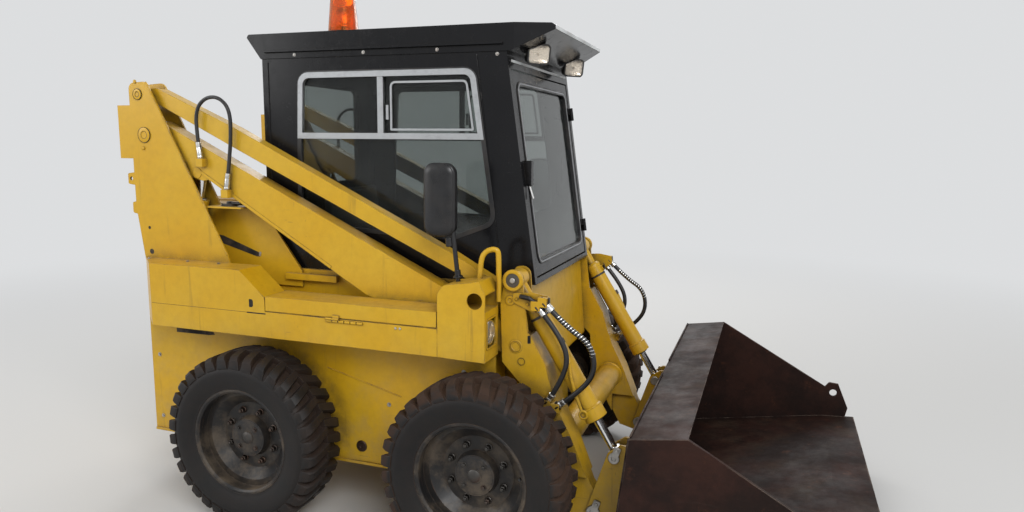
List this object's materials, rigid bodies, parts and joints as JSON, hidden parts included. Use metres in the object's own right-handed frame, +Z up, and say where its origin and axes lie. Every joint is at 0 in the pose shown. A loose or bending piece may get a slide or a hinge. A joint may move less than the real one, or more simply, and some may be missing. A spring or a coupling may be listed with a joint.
{
  "type": "skid steer loader",
  "caption": "Compact skid steer loader with a boxy cab, four lugged tyres, self-levelling four-bar lift arms and a wide dirt bucket on twin tilt cylinders.",
  "frame": {"origin": "on the ground under the middle of the machine's overall box", "axes": "+X forward to the bucket, +Y to the machine's left, +Z up"},
  "size_m": [3.295, 1.73, 2.236],
  "materials": {
    "amber_lens": "amber plastic",
    "black_paint": "black cab paint",
    "bright_rod": "polished rod",
    "bucket_steel": "dark worn rusty steel",
    "cast_engine": "grey cast iron",
    "clear_glass": "dusty glass",
    "dark_plastic": "dark plastic",
    "hose_rubber": "black hose",
    "lamp_lens": "lamp lens and reflector",
    "pin_steel": "greased steel",
    "red_lens": "red plastic",
    "rim_black": "dirty black paint",
    "seat_vinyl": "black seat cover",
    "tyre_rubber": "dusty black rubber",
    "yellow_paint": "worn machine yellow"
  },
  "bodies": {
    "chassis": {"hull": "yellow_paint", "axles": "yellow_paint", "fender_left": "yellow_paint", "fender_right": "yellow_paint", "lamp_boxes": "yellow_paint", "headlamps": "lamp_lens", "grab_loops": "yellow_paint", "hull_sides": "yellow_paint", "post_outer_left": "yellow_paint", "post_outer_right": "yellow_paint", "post_inners": "yellow_paint", "rear_lamps": "red_lens", "rear_pins": "pin_steel", "cab_side_left": "black_paint", "cab_side_right": "black_paint", "cab_glass": "clear_glass", "cab_rear": "black_paint", "cab_front_bars": "black_paint", "roof": "black_paint", "work_lamps": "lamp_lens", "beacon": "amber_lens", "mirrors": "dark_plastic", "seat_base": "black_paint", "seat": "seat_vinyl", "levers": "dark_plastic", "engine": "cast_engine"},
    "lift_arms": {"arm_left": "yellow_paint", "arm_right": "yellow_paint", "arm_ports": "pin_steel", "arm_hose_left": "hose_rubber", "arm_hose_right": "hose_rubber"},
    "upper_links": {"links": "yellow_paint"},
    "front_frame": {"leg_left": "yellow_paint", "leg_right": "yellow_paint", "cross_tube": "yellow_paint", "front_ports": "pin_steel", "tilt_hose_a_left": "hose_rubber", "tilt_hose_a_right": "hose_rubber", "tilt_hose_b_left": "hose_rubber", "tilt_hose_b_right": "hose_rubber"},
    "tilt_barrels": {"tilt_barrels": "yellow_paint"},
    "tilt_rods": {"tilt_rods": "bright_rod"},
    "lift_barrels": {"lift_barrels": "yellow_paint"},
    "lift_rods": {"lift_rods": "bright_rod"},
    "bucket": {"bucket": "bucket_steel", "couplers": "yellow_paint"},
    "front_door": {"front_door": "black_paint", "door_glass": "clear_glass"},
    "rear_door": {"rear_door": "yellow_paint"},
    "hood": {"hood": "yellow_paint"},
    "side_lid_left": {"side_lid_left": "yellow_paint"},
    "side_lid_right": {"side_lid_right": "yellow_paint"},
    "wheel_front_left": {"tyre_front_left": "tyre_rubber", "rim_front_left": "rim_black"},
    "wheel_front_right": {"tyre_front_right": "tyre_rubber", "rim_front_right": "rim_black"},
    "wheel_rear_left": {"tyre_rear_left": "tyre_rubber", "rim_rear_left": "rim_black"},
    "wheel_rear_right": {"tyre_rear_right": "tyre_rubber", "rim_rear_right": "rim_black"}
  },
  "joints": [
    {"name": "lift", "type": "hinge", "parent": "chassis", "child": "lift_arms", "pos_m": [-1.5005, 0, 1.63], "axis": [0, -1, 0], "range_deg": [0, 60]},
    {"name": "link_swing", "type": "hinge", "parent": "chassis", "child": "upper_links", "pos_m": [-1.5255, 0, 1.81], "axis": [0, -1, 0], "range_deg": [0, 60]},
    {"name": "frame_level", "type": "hinge", "parent": "lift_arms", "child": "front_frame", "pos_m": [0.2825, 0, 0.828], "axis": [0, 1, 0], "range_deg": [0, 60]},
    {"name": "bucket_tilt", "type": "hinge", "parent": "front_frame", "child": "bucket", "pos_m": [0.6045, 0, 0.2], "axis": [0, 1, 0], "range_deg": [-12, 50]},
    {"name": "tilt_barrel_swing", "type": "hinge", "parent": "front_frame", "child": "tilt_barrels", "pos_m": [0.2705, 0, 1.088], "axis": [0, -1, 0], "range_deg": [-1.06, 4.4]},
    {"name": "tilt_rod_slide", "type": "slide", "parent": "tilt_barrels", "child": "tilt_rods", "axis": [0.5279, 0, -0.8493], "range_m": [-0.04466, 0.18606]},
    {"name": "lift_barrel_swing", "type": "hinge", "parent": "chassis", "child": "lift_barrels", "pos_m": [-1.3955, 0, 0.72], "axis": [0, -1, 0], "range_deg": [0, 1.8]},
    {"name": "lift_rod_slide", "type": "slide", "parent": "lift_barrels", "child": "lift_rods", "axis": [0.2162, 0, 0.9763], "range_m": [0, 0.31663]},
    {"name": "front_door_swing", "type": "hinge", "parent": "chassis", "child": "front_door", "pos_m": [0.26843, 0.398, 1.48558], "axis": [0.1436, 0, -0.9896], "range_deg": [-95, 0]},
    {"name": "rear_door_swing", "type": "hinge", "parent": "chassis", "child": "rear_door", "pos_m": [-1.5675, 0.438, 0.8], "axis": [0, 0, -1], "range_deg": [0, 100]},
    {"name": "hood_lift", "type": "hinge", "parent": "chassis", "child": "hood", "pos_m": [-0.9695, 0, 1.312], "axis": [0, 1, 0], "range_deg": [0, 60]},
    {"name": "side_lid_left_swing", "type": "hinge", "parent": "chassis", "child": "side_lid_left", "pos_m": [-0.3855, 0.7053, 0.905], "axis": [-1, 0, 0], "range_deg": [0, 100]},
    {"name": "side_lid_right_swing", "type": "hinge", "parent": "chassis", "child": "side_lid_right", "pos_m": [-0.3855, -0.7053, 0.905], "axis": [1, 0, 0], "range_deg": [0, 100]},
    {"name": "wheel_front_left_spin", "type": "hinge", "parent": "chassis", "child": "wheel_front_left", "pos_m": [0.1945, 0.723, 0.372], "axis": [0, 1, 0], "continuous": true},
    {"name": "wheel_front_right_spin", "type": "hinge", "parent": "chassis", "child": "wheel_front_right", "pos_m": [0.1945, -0.723, 0.372], "axis": [0, 1, 0], "continuous": true},
    {"name": "wheel_rear_left_spin", "type": "hinge", "parent": "chassis", "child": "wheel_rear_left", "pos_m": [-0.8355, 0.723, 0.372], "axis": [0, 1, 0], "continuous": true},
    {"name": "wheel_rear_right_spin", "type": "hinge", "parent": "chassis", "child": "wheel_rear_right", "pos_m": [-0.8355, -0.723, 0.372], "axis": [0, 1, 0], "continuous": true}
  ],
  "couplings": [
    {"joint": "link_swing", "follows": "lift", "ratio": 1},
    {"joint": "frame_level", "follows": "lift", "ratio": 1},
    {"joint": "lift_barrel_swing", "follows": "lift", "ratio": 0.02995},
    {"joint": "lift_rod_slide", "follows": "lift", "m_per_rad": 0.30235},
    {"joint": "tilt_barrel_swing", "follows": "bucket_tilt", "ratio": 0.08798},
    {"joint": "tilt_rod_slide", "follows": "bucket_tilt", "m_per_rad": 0.2132}
  ]
}
